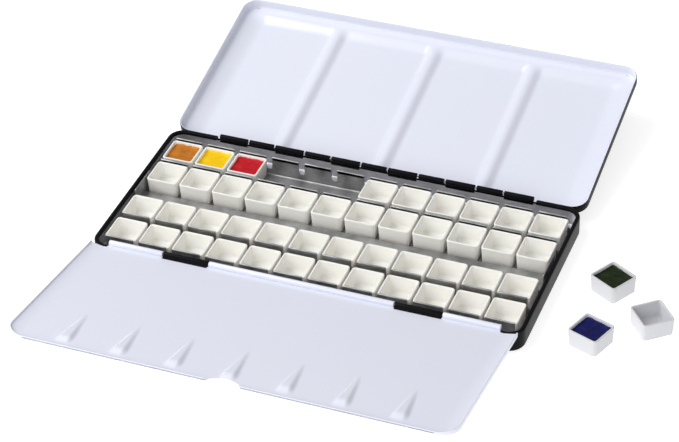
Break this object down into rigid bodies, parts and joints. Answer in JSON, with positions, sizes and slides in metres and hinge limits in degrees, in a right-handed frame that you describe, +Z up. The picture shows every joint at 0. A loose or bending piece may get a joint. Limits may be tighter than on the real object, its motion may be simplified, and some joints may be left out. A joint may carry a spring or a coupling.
{
  "type": "watercolor pan set",
  "caption": "Open metal watercolour tin with hinged mixing lid, folding palette flap and clip-in holder of half pans, with loose pans beside it.",
  "frame": {"origin": "middle of the tin footprint on the table", "axes": "+Z up, +Y from the tin towards the mixing lid, +X to the right along the rows of pans"},
  "size_m": [0.315, 0.3334, 0.0324],
  "materials": {
    "black_lacquer_tin": "satin black lacquer outside, bare tinplate inside",
    "white_enamel_lid": "gloss white enamel inside, black lacquer outside",
    "white_enamel_flap": "gloss white enamel",
    "tinplate": "bare tinplate, satin",
    "hinge_wire": "drawn steel wire",
    "pan_plastic": "moulded plastic, cream white",
    "paint_ochre": "dried watercolour",
    "paint_yellow": "dried watercolour",
    "paint_red": "dried watercolour",
    "paint_green": "dried watercolour",
    "paint_blue": "dried watercolour"
  },
  "bodies": {
    "tin": {"base_tin": "black_lacquer_tin", "pan_holder": "tinplate", "rear_hinge_wire": "hinge_wire", "front_hinge_wire": "hinge_wire"},
    "lid": {"mixing_lid": "white_enamel_lid"},
    "flap": {"palette_flap": "white_enamel_flap"},
    "pan_loose_blue": {"pan_loose_blue": "pan_plastic", "paint_blue": "paint_blue"},
    "pan_loose_empty": {"pan_loose_empty": "pan_plastic"},
    "pan_loose_green": {"pan_loose_green": "pan_plastic", "paint_green": "paint_green"},
    "pan_r1_c01": {"pan_r1_c01": "pan_plastic", "paint_ochre": "paint_ochre"},
    "pan_r1_c02": {"pan_r1_c02": "pan_plastic", "paint_yellow": "paint_yellow"},
    "pan_r1_c03": {"pan_r1_c03": "pan_plastic", "paint_red": "paint_red"},
    "pan_r1_c07": {"pan_r1_c07": "pan_plastic"},
    "pan_r1_c08": {"pan_r1_c08": "pan_plastic"},
    "pan_r1_c09": {"pan_r1_c09": "pan_plastic"},
    "pan_r1_c10": {"pan_r1_c10": "pan_plastic"},
    "pan_r1_c11": {"pan_r1_c11": "pan_plastic"},
    "pan_r1_c12": {"pan_r1_c12": "pan_plastic"},
    "pan_r2_c01": {"pan_r2_c01": "pan_plastic"},
    "pan_r2_c02": {"pan_r2_c02": "pan_plastic"},
    "pan_r2_c03": {"pan_r2_c03": "pan_plastic"},
    "pan_r2_c04": {"pan_r2_c04": "pan_plastic"},
    "pan_r2_c05": {"pan_r2_c05": "pan_plastic"},
    "pan_r2_c06": {"pan_r2_c06": "pan_plastic"},
    "pan_r2_c07": {"pan_r2_c07": "pan_plastic"},
    "pan_r2_c08": {"pan_r2_c08": "pan_plastic"},
    "pan_r2_c09": {"pan_r2_c09": "pan_plastic"},
    "pan_r2_c10": {"pan_r2_c10": "pan_plastic"},
    "pan_r2_c11": {"pan_r2_c11": "pan_plastic"},
    "pan_r2_c12": {"pan_r2_c12": "pan_plastic"},
    "pan_r3_c01": {"pan_r3_c01": "pan_plastic"},
    "pan_r3_c02": {"pan_r3_c02": "pan_plastic"},
    "pan_r3_c03": {"pan_r3_c03": "pan_plastic"},
    "pan_r3_c04": {"pan_r3_c04": "pan_plastic"},
    "pan_r3_c05": {"pan_r3_c05": "pan_plastic"},
    "pan_r3_c06": {"pan_r3_c06": "pan_plastic"},
    "pan_r3_c07": {"pan_r3_c07": "pan_plastic"},
    "pan_r3_c08": {"pan_r3_c08": "pan_plastic"},
    "pan_r3_c09": {"pan_r3_c09": "pan_plastic"},
    "pan_r3_c10": {"pan_r3_c10": "pan_plastic"},
    "pan_r3_c11": {"pan_r3_c11": "pan_plastic"},
    "pan_r3_c12": {"pan_r3_c12": "pan_plastic"},
    "pan_r4_c01": {"pan_r4_c01": "pan_plastic"},
    "pan_r4_c02": {"pan_r4_c02": "pan_plastic"},
    "pan_r4_c03": {"pan_r4_c03": "pan_plastic"},
    "pan_r4_c04": {"pan_r4_c04": "pan_plastic"},
    "pan_r4_c05": {"pan_r4_c05": "pan_plastic"},
    "pan_r4_c06": {"pan_r4_c06": "pan_plastic"},
    "pan_r4_c07": {"pan_r4_c07": "pan_plastic"},
    "pan_r4_c08": {"pan_r4_c08": "pan_plastic"},
    "pan_r4_c09": {"pan_r4_c09": "pan_plastic"},
    "pan_r4_c10": {"pan_r4_c10": "pan_plastic"},
    "pan_r4_c11": {"pan_r4_c11": "pan_plastic"},
    "pan_r4_c12": {"pan_r4_c12": "pan_plastic"}
  },
  "joints": [
    {"name": "lid_hinge", "type": "hinge", "parent": "tin", "child": "lid", "pos_m": [0, 0.0582, 0.0118], "axis": [-1, 0, 0], "range_deg": [-169, 0]},
    {"name": "flap_hinge", "type": "hinge", "parent": "tin", "child": "flap", "pos_m": [0, -0.0554, 0.0135], "axis": [1, 0, 0], "range_deg": [-170.9, 0]},
    {"name": "pan_loose_blue_lift", "type": "slide", "parent": "tin", "child": "pan_loose_blue", "axis": [0, 0, 1], "range_m": [0, 0.03]},
    {"name": "pan_loose_empty_lift", "type": "slide", "parent": "tin", "child": "pan_loose_empty", "axis": [0, 0, 1], "range_m": [0, 0.03]},
    {"name": "pan_loose_green_lift", "type": "slide", "parent": "tin", "child": "pan_loose_green", "axis": [0, 0, 1], "range_m": [0, 0.03]},
    {"name": "pan_r1_c01_lift", "type": "slide", "parent": "tin", "child": "pan_r1_c01", "axis": [0, 0, 1], "range_m": [0, 0.03]},
    {"name": "pan_r1_c02_lift", "type": "slide", "parent": "tin", "child": "pan_r1_c02", "axis": [0, 0, 1], "range_m": [0, 0.03]},
    {"name": "pan_r1_c03_lift", "type": "slide", "parent": "tin", "child": "pan_r1_c03", "axis": [0, 0, 1], "range_m": [0, 0.03]},
    {"name": "pan_r1_c07_lift", "type": "slide", "parent": "tin", "child": "pan_r1_c07", "axis": [0, 0, 1], "range_m": [0, 0.03]},
    {"name": "pan_r1_c08_lift", "type": "slide", "parent": "tin", "child": "pan_r1_c08", "axis": [0, 0, 1], "range_m": [0, 0.03]},
    {"name": "pan_r1_c09_lift", "type": "slide", "parent": "tin", "child": "pan_r1_c09", "axis": [0, 0, 1], "range_m": [0, 0.03]},
    {"name": "pan_r1_c10_lift", "type": "slide", "parent": "tin", "child": "pan_r1_c10", "axis": [0, 0, 1], "range_m": [0, 0.03]},
    {"name": "pan_r1_c11_lift", "type": "slide", "parent": "tin", "child": "pan_r1_c11", "axis": [0, 0, 1], "range_m": [0, 0.03]},
    {"name": "pan_r1_c12_lift", "type": "slide", "parent": "tin", "child": "pan_r1_c12", "axis": [0, 0, 1], "range_m": [0, 0.03]},
    {"name": "pan_r2_c01_lift", "type": "slide", "parent": "tin", "child": "pan_r2_c01", "axis": [0, 0, 1], "range_m": [0, 0.03]},
    {"name": "pan_r2_c02_lift", "type": "slide", "parent": "tin", "child": "pan_r2_c02", "axis": [0, 0, 1], "range_m": [0, 0.03]},
    {"name": "pan_r2_c03_lift", "type": "slide", "parent": "tin", "child": "pan_r2_c03", "axis": [0, 0, 1], "range_m": [0, 0.03]},
    {"name": "pan_r2_c04_lift", "type": "slide", "parent": "tin", "child": "pan_r2_c04", "axis": [0, 0, 1], "range_m": [0, 0.03]},
    {"name": "pan_r2_c05_lift", "type": "slide", "parent": "tin", "child": "pan_r2_c05", "axis": [0, 0, 1], "range_m": [0, 0.03]},
    {"name": "pan_r2_c06_lift", "type": "slide", "parent": "tin", "child": "pan_r2_c06", "axis": [0, 0, 1], "range_m": [0, 0.03]},
    {"name": "pan_r2_c07_lift", "type": "slide", "parent": "tin", "child": "pan_r2_c07", "axis": [0, 0, 1], "range_m": [0, 0.03]},
    {"name": "pan_r2_c08_lift", "type": "slide", "parent": "tin", "child": "pan_r2_c08", "axis": [0, 0, 1], "range_m": [0, 0.03]},
    {"name": "pan_r2_c09_lift", "type": "slide", "parent": "tin", "child": "pan_r2_c09", "axis": [0, 0, 1], "range_m": [0, 0.03]},
    {"name": "pan_r2_c10_lift", "type": "slide", "parent": "tin", "child": "pan_r2_c10", "axis": [0, 0, 1], "range_m": [0, 0.03]},
    {"name": "pan_r2_c11_lift", "type": "slide", "parent": "tin", "child": "pan_r2_c11", "axis": [0, 0, 1], "range_m": [0, 0.03]},
    {"name": "pan_r2_c12_lift", "type": "slide", "parent": "tin", "child": "pan_r2_c12", "axis": [0, 0, 1], "range_m": [0, 0.03]},
    {"name": "pan_r3_c01_lift", "type": "slide", "parent": "tin", "child": "pan_r3_c01", "axis": [0, 0, 1], "range_m": [0, 0.03]},
    {"name": "pan_r3_c02_lift", "type": "slide", "parent": "tin", "child": "pan_r3_c02", "axis": [0, 0, 1], "range_m": [0, 0.03]},
    {"name": "pan_r3_c03_lift", "type": "slide", "parent": "tin", "child": "pan_r3_c03", "axis": [0, 0, 1], "range_m": [0, 0.03]},
    {"name": "pan_r3_c04_lift", "type": "slide", "parent": "tin", "child": "pan_r3_c04", "axis": [0, 0, 1], "range_m": [0, 0.03]},
    {"name": "pan_r3_c05_lift", "type": "slide", "parent": "tin", "child": "pan_r3_c05", "axis": [0, 0, 1], "range_m": [0, 0.03]},
    {"name": "pan_r3_c06_lift", "type": "slide", "parent": "tin", "child": "pan_r3_c06", "axis": [0, 0, 1], "range_m": [0, 0.03]},
    {"name": "pan_r3_c07_lift", "type": "slide", "parent": "tin", "child": "pan_r3_c07", "axis": [0, 0, 1], "range_m": [0, 0.03]},
    {"name": "pan_r3_c08_lift", "type": "slide", "parent": "tin", "child": "pan_r3_c08", "axis": [0, 0, 1], "range_m": [0, 0.03]},
    {"name": "pan_r3_c09_lift", "type": "slide", "parent": "tin", "child": "pan_r3_c09", "axis": [0, 0, 1], "range_m": [0, 0.03]},
    {"name": "pan_r3_c10_lift", "type": "slide", "parent": "tin", "child": "pan_r3_c10", "axis": [0, 0, 1], "range_m": [0, 0.03]},
    {"name": "pan_r3_c11_lift", "type": "slide", "parent": "tin", "child": "pan_r3_c11", "axis": [0, 0, 1], "range_m": [0, 0.03]},
    {"name": "pan_r3_c12_lift", "type": "slide", "parent": "tin", "child": "pan_r3_c12", "axis": [0, 0, 1], "range_m": [0, 0.03]},
    {"name": "pan_r4_c01_lift", "type": "slide", "parent": "tin", "child": "pan_r4_c01", "axis": [0, 0, 1], "range_m": [0, 0.03]},
    {"name": "pan_r4_c02_lift", "type": "slide", "parent": "tin", "child": "pan_r4_c02", "axis": [0, 0, 1], "range_m": [0, 0.03]},
    {"name": "pan_r4_c03_lift", "type": "slide", "parent": "tin", "child": "pan_r4_c03", "axis": [0, 0, 1], "range_m": [0, 0.03]},
    {"name": "pan_r4_c04_lift", "type": "slide", "parent": "tin", "child": "pan_r4_c04", "axis": [0, 0, 1], "range_m": [0, 0.03]},
    {"name": "pan_r4_c05_lift", "type": "slide", "parent": "tin", "child": "pan_r4_c05", "axis": [0, 0, 1], "range_m": [0, 0.03]},
    {"name": "pan_r4_c06_lift", "type": "slide", "parent": "tin", "child": "pan_r4_c06", "axis": [0, 0, 1], "range_m": [0, 0.03]},
    {"name": "pan_r4_c07_lift", "type": "slide", "parent": "tin", "child": "pan_r4_c07", "axis": [0, 0, 1], "range_m": [0, 0.03]},
    {"name": "pan_r4_c08_lift", "type": "slide", "parent": "tin", "child": "pan_r4_c08", "axis": [0, 0, 1], "range_m": [0, 0.03]},
    {"name": "pan_r4_c09_lift", "type": "slide", "parent": "tin", "child": "pan_r4_c09", "axis": [0, 0, 1], "range_m": [0, 0.03]},
    {"name": "pan_r4_c10_lift", "type": "slide", "parent": "tin", "child": "pan_r4_c10", "axis": [0, 0, 1], "range_m": [0, 0.03]},
    {"name": "pan_r4_c11_lift", "type": "slide", "parent": "tin", "child": "pan_r4_c11", "axis": [0, 0, 1], "range_m": [0, 0.03]},
    {"name": "pan_r4_c12_lift", "type": "slide", "parent": "tin", "child": "pan_r4_c12", "axis": [0, 0, 1], "range_m": [0, 0.03]}
  ]
}
